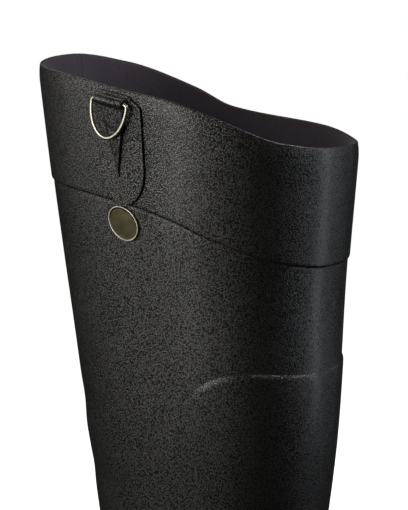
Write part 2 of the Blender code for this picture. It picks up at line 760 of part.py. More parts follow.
def build():
    clear_scene()
    rubber = material("black rubber", (0.030, 0.030, 0.029), 0.48)
    sole_rubber = material("sole rubber", (0.024, 0.024, 0.023), 0.62)
    felt = material("insole felt", (0.10, 0.09, 0.11), 0.90)
    steel = material("nickelled steel", (0.72, 0.70, 0.64), 0.22, 1.0)
    plate = material("badge plate", (0.30, 0.28, 0.20), 0.35, 0.8)
    upper(rubber)
    outsole(sole_rubber)
    foxing(sole_rubber)
    insole(felt)
    tab_patch(rubber)
    tab_loop(rubber)
    d_ring(steel)
    badge(plate)


build()
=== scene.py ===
"""The looks of a thigh-high rubber hip wader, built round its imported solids.

Metres, +Z up, +X towards the toe, -Y towards the outer side of the leg.
The origin is on the floor, under the middle of the heel.
"""

import math

import bmesh
import bpy
import numpy as np
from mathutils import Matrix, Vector

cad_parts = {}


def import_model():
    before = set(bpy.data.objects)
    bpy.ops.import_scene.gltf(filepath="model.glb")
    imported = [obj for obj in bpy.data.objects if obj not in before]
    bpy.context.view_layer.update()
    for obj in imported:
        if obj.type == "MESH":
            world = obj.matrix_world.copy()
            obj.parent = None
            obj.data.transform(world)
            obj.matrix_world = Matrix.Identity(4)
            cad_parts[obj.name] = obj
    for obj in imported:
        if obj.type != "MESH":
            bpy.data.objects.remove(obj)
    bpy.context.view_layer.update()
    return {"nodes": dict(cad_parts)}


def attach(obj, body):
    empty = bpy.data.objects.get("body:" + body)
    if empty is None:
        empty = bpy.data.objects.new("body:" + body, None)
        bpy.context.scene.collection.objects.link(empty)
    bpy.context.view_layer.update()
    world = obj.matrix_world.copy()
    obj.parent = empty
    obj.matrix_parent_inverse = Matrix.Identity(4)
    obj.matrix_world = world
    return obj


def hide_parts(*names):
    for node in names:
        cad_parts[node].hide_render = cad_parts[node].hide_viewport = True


# Foot, measured over the outside of the upper
FOOT_LENGTH = 0.290
BALL_WIDTH = 0.101
HEEL_BACK = 0.040
TOE_SWING = 0.007
TOE_SWING_START = 0.5
SEAT_BEND_FADE = 0.32
ANKLE_HEIGHT = 0.176
ANKLE_DEPTH = 0.119
ANKLE_WIDTH = 0.084

# Leg, measured over the outside of the shaft
SHIN_HEIGHT = 0.235
SHIN_DEPTH = 0.126
SHIN_WIDTH = 0.096
CALF_HEIGHT = 0.340
CALF_DEPTH = 0.146
CALF_WIDTH = 0.118
CALF_FORWARD = 0.026
KNEE_HEIGHT = 0.500
KNEE_DEPTH = 0.189
KNEE_WIDTH = 0.150
KNEE_FORWARD = 0.027
MID_THIGH_HEIGHT = 0.645
MID_THIGH_DEPTH = 0.217
MID_THIGH_WIDTH = 0.1745
MID_THIGH_FORWARD = 0.0174
THIGH_DEPTH = 0.245
THIGH_WIDTH = 0.199
THIGH_FORWARD = 0.011
THIGH_INWARD = 0.010
LEG_HEIGHT = 0.790
COLLAR_RISE = 0.059
SECTION_POWER = 2.3

# Wall of the upper and what is laid up on it
WALL = 0.0026
RUBBER = 0.0014
LINING_GAP = 0.00005
LINING_DROP = 0.0005
COLLAR_BAND_WIDTH = 0.0845
COLLAR_BAND_THICKNESS = 0.0013
COLLAR_ROLL_HEIGHT = 0.014
COLLAR_ROLL_DEPTH = 0.0016
COLLAR_ROLL_POWER = 2.2
RIM_ROUNDING = 0.0010
KNEE_PATCH_TOP = 0.571
KNEE_PATCH_LENGTH = 0.170
KNEE_PATCH_HALF_WIDTH = 0.107
KNEE_PATCH_CORNER = 0.030
KNEE_PATCH_THICKNESS = 0.0014
KNEE_PATCH_EDGE = 0.0042
KNEE_PATCH_LEAD = 0.1
KNEE_PATCH_BOW = 0.016
KNEE_PATCH_BOW_POWER = 1.2
KNEE_PATCH_SINK = 0.0002
SEAM_WIDTH = 0.0011
SEAM_DEPTH = 0.0006

# Sole
HEEL_SEAT = 0.034
BALL_SEAT = 0.018
TOE_SPRING = 0.011
TOE_SPRING_POWER = 1.6
SEAT_EASING = 0.2
HEEL_BLOCK_LENGTH = 0.076
WAIST_LENGTH = 0.076
FLAT_LENGTH = 0.078
WAIST_THICKNESS = 0.011
LUG_DEPTH = 0.0045
GROOVE_WIDTH = 0.0045
HEEL_PITCH = 0.017
FOREPART_PITCH = 0.0165
CHEVRON_DEPTH = 0.0088
SIDE_TAPER = 0.0020
SIDE_GROOVE = 0.0010
SOLE_TOP_EDGE = 0.0005
SOLE_LOW_EDGE = 0.0006
FOXING_THICKNESS = 0.0022
FOXING_HEIGHT = 0.017
FOXING_GAP = 0.0002
TOE_GUARD_RISE = 0.018
TOE_GUARD_START = 0.45
TOE_GUARD_FULL = 0.97
GAP = 0.0003

# Belt fastening on the outer side
TAB_ANGLE = math.radians(94.5)
TAB_WIDTH = 0.043
TAB_THICKNESS = 0.0020
TAB_TOP = 0.0030
TAB_SHOULDER = 0.0110
TAB_ROUND_START = 0.0530
TAB_BOTTOM = 0.0830
TAB_EDGE = 0.0007
ROLL_DROP = 0.0085
ROLL_LENGTH = 0.0242
ROLL_WALL = 0.0020
ROLL_EDGE = 0.0006
TONGUE_WIDTH = 0.0234
TONGUE_END = 0.063
TONGUE_ROOT_THICKNESS = 0.0028
TONGUE_TIP_THICKNESS = 0.0010
TONGUE_TIP_WIDTH = 0.0022
TONGUE_EDGE = 0.0008
TONGUE_CROWN = 0.0011
TONGUE_STAND = 0.0020
TONGUE_STAND_POWER = 1.1
CREASE_DROP = 0.021
CREASE_SLANT = 0.25
CREASE_WIDTH = 0.0030
CREASE_DEPTH = 0.0004
BACK_LINE_PLACE = 0.82
BACK_LINE_WIDTH = 0.0009
BACK_LINE_DEPTH = 0.0007
RING_WIRE = 0.0026
RING_SIDE_PLAY = 0.0018
RING_DEPTH = 0.0290
RING_CORNER = 0.0026
BORE_CLEARANCE = 0.0003

# Badge
BADGE_WIDTH = 0.027
BADGE_HEIGHT = 0.0245
BADGE_THICKNESS = 0.0014
BADGE_RIM_WIDTH = 0.0011
BADGE_RIM_RISE = 0.0005
BADGE_DOME = 0.0004
BADGE_ANGLE = math.radians(95.0)

# Finishes: grain, and the dark and light end of each rubber in linear colour
GRAIN_SIZE = 0.0010
GRAIN_DEPTH = 0.00022
STRAP_GRAIN_DEPTH = 0.00014
RUBBER_ROUGHNESS = (0.27, 0.37)
RUBBER_TONES = ((0.007, 0.007, 0.0066), (0.017, 0.017, 0.016))
STRAP_TONES = ((0.006, 0.006, 0.0057), (0.014, 0.014, 0.013))
SOLE_TONES = ((0.016, 0.016, 0.015), (0.036, 0.035, 0.033))

# Mesh resolution
WALL_COLUMNS = 216
WALL_STEP = 0.0027
LINING_COLUMNS = 160
LINING_STEP = 0.006
SOLE_COLUMNS = 200
SOLE_SHARP_ANGLE = math.radians(32)
STRIP_VOXEL = 0.00032

# Camera, in the photograph's frame
VIEW_AZIMUTH = math.radians(32.34)
VIEW_ELEVATION = math.radians(10.06)
VIEW_DISTANCE = 1.5
VIEW_TARGET = Vector((0.0161, 0.0062, 0.6444))
VIEW_LENS = 140.9

# Softboxes. The columns are: name, degrees round from the camera, degrees up, distance, width and height,
# power, colour, height of the point looked at.
LIGHTS = (
    ("key", -41, 14, 1.5, (0.6, 1.3), 16.0, (1.0, 0.98, 0.93), 0.62),
    ("side", -86, 14, 1.5, (1.1, 1.3), 8.0, (1.0, 0.98, 0.93), 0.62),
    ("strip", 98, 6, 1.5, (0.14, 1.3), 5.4, (0.88, 0.93, 1.0), 0.62),
    ("top", 94, 42, 1.5, (0.3, 0.3), 14.0, (1.0, 0.97, 1.0), 0.80),
    ("back", 190, 40, 2.2, (1.5, 1.4), 9.0, (1.0, 0.99, 0.97), 0.62),
)
FILL_LEVEL = 0.008
SEEN_LEVEL = 1.0

# Rows run up the foot from its lower edge to the ankle. The columns are:
# rise at the back, as a share of the height from heel seat to ankle,
# heel standing behind the ankle, as a share of the foot's length,
# reach in front, as a share of the length from ankle to toe,
# rise in front, as a share of the height from toe seat to ankle,
# how much of half the ball width and of half the ankle width the side has,
# rounding of the toe and of the heel, as shares of the row's own length.
FOOT_ROWS = (
    (0.000, 0.017, 1.000, 0.000, 0.98, 0.00, 0.22, 0.120),
    (0.070, 0.024, 1.018, 0.080, 1.01, 0.00, 0.22, 0.120),
    (0.155, 0.029, 0.985, 0.187, 1.01, 0.00, 0.25, 0.125),
    (0.239, 0.029, 0.885, 0.280, 0.99, 0.00, 0.33, 0.135),
    (0.324, 0.028, 0.720, 0.342, 0.95, 0.04, 0.43, 0.150),
    (0.408, 0.024, 0.533, 0.407, 0.90, 0.11, 0.49, 0.180),
    (0.507, 0.017, 0.352, 0.500, 0.70, 0.32, 0.52, 0.230),
    (0.634, 0.010, 0.190, 0.633, 0.42, 0.60, 0.52, 0.310),
    (0.789, 0.003, 0.062, 0.800, 0.18, 0.82, 0.51, 0.410),
    (1.000, 0.000, 0.000, 1.000, 0.00, 1.00, 0.50, 0.500),
)

# Plan of the foot: place along its length, outer side and inner side as shares of half the ball width.
PLAN_ROWS = (
    (0.00, 0.68, 0.66),
    (0.15, 0.69, 0.67),
    (0.35, 0.75, 0.64),
    (0.55, 0.91, 0.85),
    (0.70, 1.00, 0.99),
    (0.85, 0.97, 0.99),
    (1.00, 0.90, 0.94),
)

# Collar round the leg: degrees from the front through the outer side, how high its edge and then
# the lower edge of its band stand, as shares of the collar's rise.
COLLAR_ROWS = (
    (0, 0.04, 0.02),
    (30, 0.155, 0.15),
    (60, 0.50, 0.45),
    (75, 0.66, 0.65),
    (90, 0.75, 0.785),
    (120, 0.905, 0.915),
    (150, 0.955, 0.955),
    (180, 0.995, 0.99),
    (210, 0.845, 0.845),
    (240, 0.50, 0.51),
    (255, 0.27, 0.32),
    (270, 0.19, 0.20),
    (300, 0.11, 0.08),
    (330, 0.02, 0.01),
)

# Soft folds of the wall, placed one by one. The columns are: degrees from the front through the outer side,
# height up the back, reach either way in degrees, half width, rise out of the wall, tilt over the reach.
FOLDS = (
    (5, 0.181, 70, 0.0075, -0.0012, 0.004),
    (-8, 0.197, 78, 0.0085, 0.0009, -0.003),
    (4, 0.216, 82, 0.0080, -0.0010, -0.005),
    (0, 0.236, 60, 0.0100, 0.0006, 0.004),
    (178, 0.206, 46, 0.0090, -0.0007, 0.003),
    (172, 0.486, 62, 0.0110, -0.0008, 0.006),
    (186, 0.512, 58, 0.0120, 0.0007, -0.005),
    (176, 0.540, 55, 0.0120, -0.0006, 0.004),
)

# Long shallow waves that hand-laid rubber keeps: turns round the leg, waves up a metre, size, start.
WAVES = (
    (2, 3.1, 0.00030, 0.7),
    (3, -4.3, 0.00022, 2.1),
    (5, 6.7, 0.00014, 4.0),
)
WAVE_START = 0.05

# Step at the lower edge of the collar's band: height over the edge, share of the band's thickness.
BAND_EDGE_ROWS = (
    (-0.0026, -0.03),
    (-0.0014, -0.12),
    (-0.0006, -0.16),
    (-0.0001, -0.05),
    (0.0000, 0.30),
    (0.0002, 0.62),
    (0.0006, 0.84),
    (0.0013, 0.96),
    (0.0024, 1.00),
)
BAND_EDGE_LEAD = 0.004

# Corner of a sheet's cut rim: drop below the rim, distance left to the sheet's face.
CUT_CORNER = (
    (0.0001, 0.0002),
    (0.0004, 0.0000),
)

# Seams of the lining's back: degrees from the front, share of the full seam.
LINING_SEAMS = (
    (186.0, 1.0),
    (181.0, 0.35),
)


# Curves through tables

def end_slope(steps, rates):
    """Slope at a curve's end, from its two nearest steps and their rates."""
    slope = ((2 * steps[0] + steps[1]) * rates[0] - steps[0] * rates[1]) / (steps[0] + steps[1])
    if slope * rates[0] <= 0:
        return 0.0
    return math.copysign(min(abs(slope), 3 * abs(rates[0])), slope)


def slopes_through(places, values):
    """Slopes of a smooth curve through the points that never overshoots them."""
    steps = np.diff(places)
    rates = np.diff(values) / steps
    slopes = np.zeros_like(values)
    slopes[0] = end_slope(steps[:2], rates[:2])
    slopes[-1] = end_slope(steps[:-3:-1], rates[:-3:-1])
    for i in range(1, len(values) - 1):
        if rates[i - 1] * rates[i] > 0:
            near, far = 2 * steps[i] + steps[i - 1], steps[i] + 2 * steps[i - 1]
            slopes[i] = (near + far) / (near / rates[i - 1] + far / rates[i])
    return slopes


def curve(rows, column, at):
    """A column of a table, read smoothly at any place of its first column."""
    places = np.array([row[0] for row in rows], float)
    values = np.array([row[column] for row in rows], float)
    slopes = slopes_through(places, values)
    at = np.clip(at, places[0], places[-1])
    i = np.clip(np.searchsorted(places, at, side="right") - 1, 0, len(places) - 2)
    step = places[i + 1] - places[i]
    t = (at - places[i]) / step
    return (
        values[i] * (1 + 2 * t) * (1 - t) ** 2
        + values[i + 1] * t * t * (3 - 2 * t)
        + slopes[i] * step * t * (1 - t) ** 2
        - slopes[i + 1] * step * t * t * (1 - t)
    )


def ease(start, end, at):
    """0 before start, 1 after end and a smooth rise between them."""
    t = np.clip((at - start) / (end - start), 0, 1)
    return t * t * (3 - 2 * t)


def unit(vectors):
    """The same directions, one long."""
    return vectors / np.maximum(np.linalg.norm(vectors, axis=-1, keepdims=True), 1e-12)


def rounded_end(share):
    """Half width left at a share of the way into a rounded end."""
    inside = 1 - np.clip(share, 0, 1)
    return (1 - inside**SECTION_POWER) ** (1 / SECTION_POWER)


# The outer skin of the upper

ANKLE_BACK = -HEEL_BACK + FOOT_ROWS[0][1] * FOOT_LENGTH
ANKLE_FRONT = ANKLE_BACK + ANKLE_DEPTH
TOE_TIP = FOOT_LENGTH - HEEL_BACK
HEEL_BREAST = HEEL_BLOCK_LENGTH - HEEL_BACK
FOREPART_START = HEEL_BREAST + WAIST_LENGTH
FLAT_END = FOREPART_START + FLAT_LENGTH
LEG_ROWS = (
    # height, centre forward, half depth, half width, inward
    (ANKLE_HEIGHT, ANKLE_BACK + ANKLE_DEPTH / 2, ANKLE_DEPTH / 2, ANKLE_WIDTH / 2, 0.0),
    (SHIN_HEIGHT, ANKLE_BACK + ANKLE_DEPTH / 2, SHIN_DEPTH / 2, SHIN_WIDTH / 2, 0.0),
    (CALF_HEIGHT, CALF_FORWARD, CALF_DEPTH / 2, CALF_WIDTH / 2, 0.0),
    (KNEE_HEIGHT, KNEE_FORWARD, KNEE_DEPTH / 2, KNEE_WIDTH / 2, 0.0),
    (MID_THIGH_HEIGHT, MID_THIGH_FORWARD, MID_THIGH_DEPTH / 2, MID_THIGH_WIDTH / 2, THIGH_INWARD / 2),
    (LEG_HEIGHT, THIGH_FORWARD, THIGH_DEPTH / 2, THIGH_WIDTH / 2, THIGH_INWARD),
)


def tread_height(x):
    """Height of the lugs' faces: on the floor, and rising at the toe."""
    share = np.clip((x - FLAT_END) / (TOE_TIP - FLAT_END), 0, 1.1)
    return TOE_SPRING * share**TOE_SPRING_POWER


def seat_height(x):
    """Height of the upper's lower edge, which is also the top of the sole."""
    margin = SEAT_EASING * WAIST_LENGTH
    fall = (HEEL_SEAT - BALL_SEAT) * ease(HEEL_BREAST - margin, FOREPART_START + margin, x)
    return HEEL_SEAT - fall + tread_height(x)


def collar_rise(angle, column):
    """Height of a line round the collar, by its column of the collar's table."""
    before = [(row[0] - 360, *row[1:]) for row in COLLAR_ROWS[-2:]]
    after = [(row[0] + 360, *row[1:]) for row in COLLAR_ROWS[:3]]
    share = curve((*before, *COLLAR_ROWS, *after), column, np.degrees(angle) % 360)
    return LEG_HEIGHT - COLLAR_RISE * (1 - share)


def collar_height(angle):
    """Height of the collar's edge round the leg."""
    return collar_rise(angle, 1)


def band_edge_height(angle):
    """Height of the lower edge of the collar's band round the leg."""
    return collar_rise(angle, 2) - COLLAR_BAND_WIDTH


def leg_skin(angle, height):
    """Points of the leg: ovals that change with height."""
    centre, depth, width, inward = (curve(LEG_ROWS, c, height) for c in (1, 2, 3, 4))
    x = centre + depth * np.cos(angle)
    side = width * rounded_end(1 - np.abs(np.cos(angle)))
    return np.stack([x, inward - np.sign(np.sin(angle)) * side, height + 0 * x], -1)


def foot_skin(angle, height):
    """Points of the foot: rows that run from the heel round the toe and shorten towards the ankle."""
    rise = (height - HEEL_SEAT) / (ANKLE_HEIGHT - HEEL_SEAT)
    heel, reach, lift, ball, ankle, toe_round, heel_round = (curve(FOOT_ROWS, c, rise) for c in range(1, 8))
    back = ANKLE_BACK - heel * FOOT_LENGTH
    front = ANKLE_FRONT + reach * (TOE_TIP - ANKLE_FRONT)
    along = (1 + np.cos(angle)) / 2
    x = back + along * (front - back)
    place = (x + HEEL_BACK) / FOOT_LENGTH
    outer = np.sin(angle) >= 0
    plan = np.where(outer, curve(PLAN_ROWS, 1, place), curve(PLAN_ROWS, 2, place))
    side = ball * plan * BALL_WIDTH / 2 + ankle * ANKLE_WIDTH / 2
    side = side * rounded_end((1 - along) / toe_round) * rounded_end(along / heel_round)
    swing = TOE_SWING * ease(TOE_SWING_START, 1.0, place) * ball
    toe_seat = seat_height(np.array(TOE_TIP))
    front_height = toe_seat + lift * (ANKLE_HEIGHT - toe_seat)
    level = height + along * (front_height - height)
    seat_bend = seat_height(x) - (HEEL_SEAT + along * (toe_seat - HEEL_SEAT))
    level = level + seat_bend * (1 - ease(0.0, SEAT_BEND_FADE, rise))
    return np.stack([x, swing - np.where(outer, 1, -1) * side, level], -1)


def skin(angle, height):
    """The outer skin at an angle from the front and a height measured up the back."""
    angle, height = np.broadcast_arrays(np.asarray(angle, float), np.asarray(height, float))
    on_leg = (height >= ANKLE_HEIGHT)[..., None]
    return np.where(on_leg, leg_skin(angle, height), foot_skin(angle, height))


def outward(angle, height):
    """Unit normals of the skin."""
    step_a, step_h = 1e-3, 5e-4
    low = np.maximum(np.asarray(height, float) - step_h, HEEL_SEAT)
    round_it = skin(angle + step_a, height) - skin(angle - step_a, height)
    up_it = skin(angle, low + 2 * step_h) - skin(angle, low)
    return unit(np.cross(up_it, round_it))


def soft_form(angle, height):
    """How far the folds and waves stand out of the skin, or sink into it."""
    total = 0.0
    for degrees, level, reach, half_width, rise, tilt in FOLDS:
        turn = (np.degrees(angle) - degrees + 180) % 360 - 180
        share = turn / reach
        across = (height - level - tilt * share) / half_width
        total = total + rise * np.exp(-across * across - share**4)
    settled = ease(HEEL_SEAT + WAVE_START, SHIN_HEIGHT, height)
    for turns, per_metre, size, start in WAVES:
        total = total + settled * size * np.sin(turns * angle + 2 * math.pi * per_metre * height + start)
    return total


def raised(angle, height, out):
    """The folded skin moved out by a distance, or in by a negative one."""
    angle, height = np.broadcast_arrays(np.asarray(angle, float), np.asarray(height, float))
    lift = soft_form(angle, height) + np.asarray(out, float)
    return skin(angle, height) + outward(angle, height) * lift[..., None]


def angle_towards_front(start, distance, height):
    """The angle reached by going a distance along the skin from a start angle towards the front."""
    angles = np.linspace(-0.8 * math.pi, 1.2 * math.pi, 1501)
    ring = leg_skin(angles, np.full_like(angles, height))
    run = np.concatenate([[0], np.cumsum(np.linalg.norm(np.diff(ring, axis=0), axis=1))])
    return np.interp(np.interp(start, angles, run) - distance, run, angles)


# Meshes and objects

def placed(name, data):
    """A new object in the scene."""
    item = bpy.data.objects.new(name, data)
    bpy.context.scene.collection.objects.link(item)
    return item


def piece_from(name, points, faces, finishes):
    """A smooth-shaded object whose normals point out."""
    mesh = bpy.data.meshes.new(name)
    mesh.from_pydata(np.asarray(points, float).tolist(), [], faces)
    work = bmesh.new()
    work.from_mesh(mesh)
    bmesh.ops.recalc_face_normals(work, faces=work.faces)
    work.to_mesh(mesh)
    work.free()
    mesh.shade_smooth()
    for finish in finishes:
        mesh.materials.append(finish)
    return placed(name, mesh)


def grid_faces(rows, columns, wrap_rows=False, wrap_columns=False):
    """Four-sided faces of a grid of points, as index rows."""
    high = rows if wrap_rows else rows - 1
    wide = columns if wrap_columns else columns - 1
    i, j = np.meshgrid(np.arange(high), np.arange(wide), indexing="ij")
    up, across = (i + 1) % rows, (j + 1) % columns
    quads = np.stack([i * columns + j, i * columns + across, up * columns + across, up * columns + j], -1)
    return quads.reshape(-1, 4).tolist()


def border(rows, columns):
    """Row and column of each point round the border of a grid."""
    loop = [(0, j) for j in range(columns)]
    loop += [(i, columns - 1) for i in range(1, rows)]
    loop += [(rows - 1, j) for j in range(columns - 2, -1, -1)]
    loop += [(i, 0) for i in range(rows - 2, 0, -1)]
    return loop


def closed_tube(name, grid, finishes):
    """An object whose rings of points close on themselves both ways."""
    rows, columns = grid.shape[:2]
    faces = grid_faces(rows, columns, wrap_rows=True, wrap_columns=True)
    return piece_from(name, grid.reshape(-1, 3), faces, finishes)


def capped_rings(rings):
    """Points and faces of a stack of rings, with rungs across its two ends."""
    levels, columns = rings.shape[:2]
    faces = grid_faces(levels, columns, wrap_columns=True)
    for level in (0, levels - 1):
        first = level * columns
        for j in range(columns // 2):
            rung = (j, j + 1, columns - j - 1, (columns - j) % columns)
            faces.append(tuple(dict.fromkeys(first + k for k in rung)))
    return rings.reshape(-1, 3), faces


def around(columns):
    return np.linspace(0, 2 * math.pi, columns, endpoint=False)


# The rubber wall, its lining and the knee patch

def wall_outside(angles):
    """Heights and thickness laid on the skin, for each row up the outside."""
    rim, edge = collar_height(angles), band_edge_height(angles)
    level = KNEE_PATCH_TOP + KNEE_PATCH_BOW
    count = round((level - HEEL_SEAT) / WALL_STEP)
    rows = [(height, 0.0) for height in np.linspace(HEEL_SEAT, level, count)]
    count = round((LEG_HEIGHT - COLLAR_BAND_WIDTH - level) / WALL_STEP / 0.8)
    rise = edge - BAND_EDGE_LEAD - level
    rows += [(level + share * rise, 0.0) for share in np.linspace(0, 1, count)[1:]]
    rows += [(edge + above, share * COLLAR_BAND_THICKNESS) for above, share in BAND_EDGE_ROWS]
    start, end = edge + BAND_EDGE_ROWS[-1][0], rim - RIM_ROUNDING
    for share in np.linspace(0, 1, round(COLLAR_BAND_WIDTH / WALL_STEP))[1:]:
        heights = start + share * (end - start)
        rows.append((heights, collar_level(rim - heights)))
    return rows


def collar_level(below_rim):
    """Level of the collar band's face, which rolls in towards the rim."""
    rolled = np.clip(1 - below_rim / COLLAR_ROLL_HEIGHT, 0, 1) ** COLLAR_ROLL_POWER
    return COLLAR_BAND_THICKNESS - COLLAR_ROLL_DEPTH * rolled


def rubber_wall(finish):
    angles = around(WALL_COLUMNS)
    rim = collar_height(angles)
    rows = wall_outside(angles)
    top = collar_level(RIM_ROUNDING)
    for turn in np.radians((25, 50, 75, 90)):
        rows.append((rim - RIM_ROUNDING * (1 - math.sin(turn)), top - RIM_ROUNDING * (1 - math.cos(turn))))
    inside = -RUBBER
    rows.append((rim, 0.4 * (top - RIM_ROUNDING) + 0.6 * inside))
    rows += [(rim - drop, inside + left) for drop, left in CUT_CORNER]
    rows += [(rim + share * (HEEL_SEAT - rim), inside) for share in np.linspace(0.01, 1, 60)]
    grid = np.array([raised(angles, heights, out) for heights, out in rows])
    grid[-1, :, 2] = grid[0, :, 2]
    return closed_tube("rubber_wall", grid, [finish])


def seam_lift(angles, spacing):
    """How far the lining's seams stand in from its face."""
    lift = np.zeros_like(angles)
    for degrees, share in LINING_SEAMS:
        away = np.abs(angles - math.radians(degrees)) * spacing
        lift += share * SEAM_DEPTH * np.exp(-((away / SEAM_WIDTH) ** 2))
    return lift


def lining(finish, cut_edge):
    """The textile inside the rubber, its cut edge showing at the rim."""
    angles = around(LINING_COLUMNS)
    step = SEAM_WIDTH / (THIGH_DEPTH / 2)
    extra = [math.radians(degrees) + i * step for degrees, _ in LINING_SEAMS for i in range(-4, 5)]
    angles = np.unique(np.concatenate([angles, extra]))
    rim = collar_height(angles) - LINING_DROP
    face = -WALL - seam_lift(angles, THIGH_DEPTH / 2)
    back = -RUBBER - LINING_GAP
    shares = np.linspace(0.004, 1, round(LEG_HEIGHT / LINING_STEP))
    rows = [(rim + share * (HEEL_SEAT - rim), back) for share in shares[::-1]]
    rows += [(rim - drop, back - left) for drop, left in CUT_CORNER[::-1]]
    rows.append((rim, 0.5 * (back + face)))
    rows += [(rim - drop, face + left) for drop, left in CUT_CORNER]
    rows += [(rim + share * (HEEL_SEAT - rim), face) for share in shares]
    grid = np.array([raised(angles, heights, out) for heights, out in rows])
    grid[-1, :, 2] = grid[0, :, 2]
    item = closed_tube("lining", grid, [finish, cut_edge])
    first = len(shares) * len(angles)
    for index in range(first, first + 4 * len(angles)):
        item.data.polygons[index].material_index = 1
    return item


def knee_patch_rows():
    """Drop below the patch's upper edge, half width and depth into the corner for each row."""
    turns = np.radians(np.linspace(0, 90, 21))
    ends = KNEE_PATCH_CORNER * (1 - np.cos(turns))
    middle = np.linspace(KNEE_PATCH_CORNER, KNEE_PATCH_LENGTH - KNEE_PATCH_CORNER, 38)[1:-1]
    drops = np.concatenate([ends, middle, KNEE_PATCH_LENGTH - ends[::-1]])
    into = np.maximum(KNEE_PATCH_CORNER - np.minimum(drops, KNEE_PATCH_LENGTH - drops), 0)
    halves = KNEE_PATCH_HALF_WIDTH - KNEE_PATCH_CORNER + np.sqrt(KNEE_PATCH_CORNER**2 - into**2)
    return drops, halves, into


def knee_patch(finish):
    """A raised patch over the knee, with a soft rounded edge."""
    drops, halves, into = knee_patch_rows()
    from_end = np.array([0.0, 0.0003, 0.0008, 0.0014, 0.0021, 0.0029, 0.0038, 0.0050, 0.0070])
    side = np.concatenate([from_end, np.linspace(0.010, KNEE_PATCH_HALF_WIDTH, 28)])
    share = 1 - side / KNEE_PATCH_HALF_WIDTH
    across = halves[:, None] * np.concatenate([-share, share[-2::-1]])
    inside = halves[:, None] - np.abs(across)
    corner = np.maximum(KNEE_PATCH_CORNER - inside, 0)
    edge = KNEE_PATCH_CORNER - np.hypot(corner, into[:, None])
    away = np.where((corner > 0) & (into[:, None] > 0), edge, np.minimum(inside, KNEE_PATCH_CORNER))
    away = np.minimum(away, np.minimum(drops, KNEE_PATCH_LENGTH - drops)[:, None])
    away = np.clip(away, 0, KNEE_PATCH_EDGE)
    angles = angle_towards_front(0.0, -across, KNEE_HEIGHT)
    to_side = np.minimum(np.abs(angles) / math.pi, 0.5) * 2
    heights = KNEE_PATCH_TOP - drops[:, None] + KNEE_PATCH_BOW * to_side**KNEE_PATCH_BOW_POWER
    start = ease(-KNEE_PATCH_LEAD, 1.0, 0.0)
    profile = (ease(-KNEE_PATCH_LEAD, 1.0, away / KNEE_PATCH_EDGE) - start) / (1 - start)
    level = (KNEE_PATCH_THICKNESS + KNEE_PATCH_SINK) * profile - KNEE_PATCH_SINK
    under = raised(angles, heights, -2 * KNEE_PATCH_SINK)
    points, faces = closed_sheet(raised(angles, heights, level), under)
    return piece_from("knee_patch", points, faces, [finish])


def closed_sheet(outer, inner):
    """Points and faces of the closed body between two grids of the same size."""
    rows, columns = outer.shape[:2]
    skip = rows * columns
    faces = grid_faces(rows, columns)
    faces += [tuple(i + skip for i in reversed(face)) for face in faces]
    loop = [i * columns + j for i, j in border(rows, columns)]
    faces += [(a, a + skip, b + skip, b) for a, b in zip(loop, loop[1:] + loop[:1])]
    return np.concatenate([outer.reshape(-1, 3), inner.reshape(-1, 3)]), faces


# The sole

SOLE_ANGLES = around(SOLE_COLUMNS)
BELOW_FLOOR = -0.01
REACH = BALL_WIDTH


def foot_edge(out):
    """The upper's lower edge in plan, moved out sideways by a distance."""
    edge = skin(SOLE_ANGLES, HEEL_SEAT)[:, :2]
    along = skin(SOLE_ANGLES + 1e-3, HEEL_SEAT)[:, :2] - skin(SOLE_ANGLES - 1e-3, HEEL_SEAT)[:, :2]
    return edge + out * unit(np.stack([-along[:, 1], along[:, 0]], -1))


def prism_sides(count):
    """Side faces of a prism whose two ends have this many points each."""
    return [(i, (i + 1) % count, count + (i + 1) % count, count + i) for i in range(count)]


def groove(x, high, chevron_depth=0.0):
    """A cutter: a strip across the sole, as a chevron that is this deep at the sole's edges."""
    back, front = x - GROOVE_WIDTH / 2, x + GROOVE_WIDTH / 2
    middle_shift = chevron_depth * 2 * REACH / BALL_WIDTH
    plan = [(back, -REACH), (front, -REACH), (front + middle_shift, 0)]
    plan += [(front, REACH), (back, REACH), (back + middle_shift, 0)]
    points = [(x, y, z) for z in (BELOW_FLOOR, high) for x, y in plan]
    ends = [(0, 1, 2, 5), (2, 3, 4, 5), (6, 7, 8, 11), (8, 9, 10, 11)]
    return points, ends + prism_sides(len(plan))


def arch_cutter():
    """What is cut from under the waist, between the heel's breast and the forepart."""
    profile = [(HEEL_BREAST, BELOW_FLOOR)]
    for share in np.linspace(0, 0.95, 12):
        x = HEEL_BREAST + share * WAIST_LENGTH
        profile.append((x, float(seat_height(x)) - (1 - share / 2) * WAIST_THICKNESS))
    profile.append((FOREPART_START, BELOW_FLOOR))
    count = len(profile)
    points = [(x, y, z) for y in (-REACH, REACH) for x, z in profile]
    ends = [tuple(range(count)), tuple(range(count, 2 * count))]
    return points, ends + prism_sides(count)


def tread_cutters():
    """The arch, the straight grooves of the heel and the chevron grooves of the forepart, as one helper."""
    parts = [arch_cutter()]
    x = 0.5 * HEEL_PITCH
    while x + HEEL_PITCH / 2 < HEEL_BREAST:
        parts += [groove(-x, LUG_DEPTH), groove(x, LUG_DEPTH)]
        x += HEEL_PITCH
    x = FOREPART_START + 0.6 * FOREPART_PITCH
    while x + 2 * CHEVRON_DEPTH < TOE_TIP - FOREPART_PITCH / 2:
        high = float(tread_height(x + CHEVRON_DEPTH)) + LUG_DEPTH
        parts.append(groove(x, high, CHEVRON_DEPTH))
        x += FOREPART_PITCH
    points, faces = [], []
    for some, those in parts:
        faces += [tuple(len(points) + i for i in face) for face in those]
        points += some
    return piece_from("tread_cutters", points, faces, [])


